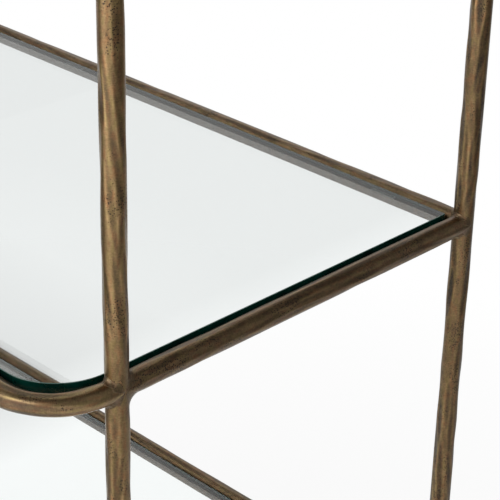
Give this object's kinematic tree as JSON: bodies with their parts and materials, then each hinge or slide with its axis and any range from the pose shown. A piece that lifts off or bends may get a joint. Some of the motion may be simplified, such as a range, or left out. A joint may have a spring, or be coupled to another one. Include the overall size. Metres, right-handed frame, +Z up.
{
  "type": "etagere",
  "caption": "Free-standing etagere: a welded frame of hammered round bar with rounded front corners, loose inset glass shelves and levelling feet.",
  "frame": {"origin": "on the floor, midway between the left and right posts and midway between the front bar and the back bar", "axes": "+Z up, +X to the etagere's right as seen from its front, +Y to its back"},
  "size_m": [0.916, 0.4284, 1.7],
  "materials": {
    "post_bar": "hand-hammered round bar, antique bronze patina, waxed",
    "ring_bar": "hand-hammered round bar, antique bronze patina, waxed",
    "weld": "dressed weld, burnished bronze patina",
    "ledge": "square bar, antique bronze patina",
    "glass": "clear float glass, ground and polished edges",
    "pad": "clear soft vinyl",
    "stud": "zinc-plated M6 thread",
    "glide": "black nylon"
  },
  "bodies": {
    "frame": {"post_front_left": "post_bar", "post_front_right": "post_bar", "post_rear_left": "post_bar", "post_rear_right": "post_bar", "shelf_1_front_bar": "ring_bar", "shelf_1_side_bar_left": "ring_bar", "shelf_1_side_bar_right": "ring_bar", "shelf_1_back_bar": "ring_bar", "shelf_1_welds": "weld", "shelf_1_ledge_front": "ledge", "shelf_1_ledge_rear": "ledge", "shelf_1_pads": "pad", "shelf_2_front_bar": "ring_bar", "shelf_2_side_bar_left": "ring_bar", "shelf_2_side_bar_right": "ring_bar", "shelf_2_back_bar": "ring_bar", "shelf_2_welds": "weld", "shelf_2_ledge_front": "ledge", "shelf_2_ledge_rear": "ledge", "shelf_2_pads": "pad", "shelf_3_front_bar": "ring_bar", "shelf_3_side_bar_left": "ring_bar", "shelf_3_side_bar_right": "ring_bar", "shelf_3_back_bar": "ring_bar", "shelf_3_welds": "weld", "shelf_3_ledge_front": "ledge", "shelf_3_ledge_rear": "ledge", "shelf_3_pads": "pad", "shelf_4_front_bar": "ring_bar", "shelf_4_side_bar_left": "ring_bar", "shelf_4_side_bar_right": "ring_bar", "shelf_4_back_bar": "ring_bar", "shelf_4_welds": "weld", "shelf_4_ledge_front": "ledge", "shelf_4_ledge_rear": "ledge", "shelf_4_pads": "pad", "shelf_5_front_bar": "ring_bar", "shelf_5_side_bar_left": "ring_bar", "shelf_5_side_bar_right": "ring_bar", "shelf_5_back_bar": "ring_bar", "shelf_5_welds": "weld", "shelf_5_ledge_front": "ledge", "shelf_5_ledge_rear": "ledge", "shelf_5_pads": "pad"},
    "pane_1": {"shelf_1_glass": "glass"},
    "pane_2": {"shelf_2_glass": "glass"},
    "pane_3": {"shelf_3_glass": "glass"},
    "pane_4": {"shelf_4_glass": "glass"},
    "pane_5": {"shelf_5_glass": "glass"},
    "foot_front_left": {"foot_glide_front_left": "glide", "foot_stud_front_left": "stud"},
    "foot_front_right": {"foot_glide_front_right": "glide", "foot_stud_front_right": "stud"},
    "foot_rear_left": {"foot_glide_rear_left": "glide", "foot_stud_rear_left": "stud"},
    "foot_rear_right": {"foot_glide_rear_right": "glide", "foot_stud_rear_right": "stud"}
  },
  "joints": [
    {"name": "pane_1_lift", "type": "slide", "parent": "frame", "child": "pane_1", "axis": [0, 0, 1], "range_m": [0, 0.3]},
    {"name": "pane_2_lift", "type": "slide", "parent": "frame", "child": "pane_2", "axis": [0, 0, 1], "range_m": [0, 0.3]},
    {"name": "pane_3_lift", "type": "slide", "parent": "frame", "child": "pane_3", "axis": [0, 0, 1], "range_m": [0, 0.3]},
    {"name": "pane_4_lift", "type": "slide", "parent": "frame", "child": "pane_4", "axis": [0, 0, 1], "range_m": [0, 0.3]},
    {"name": "pane_5_lift", "type": "slide", "parent": "frame", "child": "pane_5", "axis": [0, 0, 1], "range_m": [0, 0.3]},
    {"name": "foot_front_left_screw", "type": "slide", "parent": "frame", "child": "foot_front_left", "axis": [0, 0, -1], "range_m": [0, 0.01]},
    {"name": "foot_front_right_screw", "type": "slide", "parent": "frame", "child": "foot_front_right", "axis": [0, 0, -1], "range_m": [0, 0.01]},
    {"name": "foot_rear_left_screw", "type": "slide", "parent": "frame", "child": "foot_rear_left", "axis": [0, 0, -1], "range_m": [0, 0.01]},
    {"name": "foot_rear_right_screw", "type": "slide", "parent": "frame", "child": "foot_rear_right", "axis": [0, 0, -1], "range_m": [0, 0.01]}
  ]
}
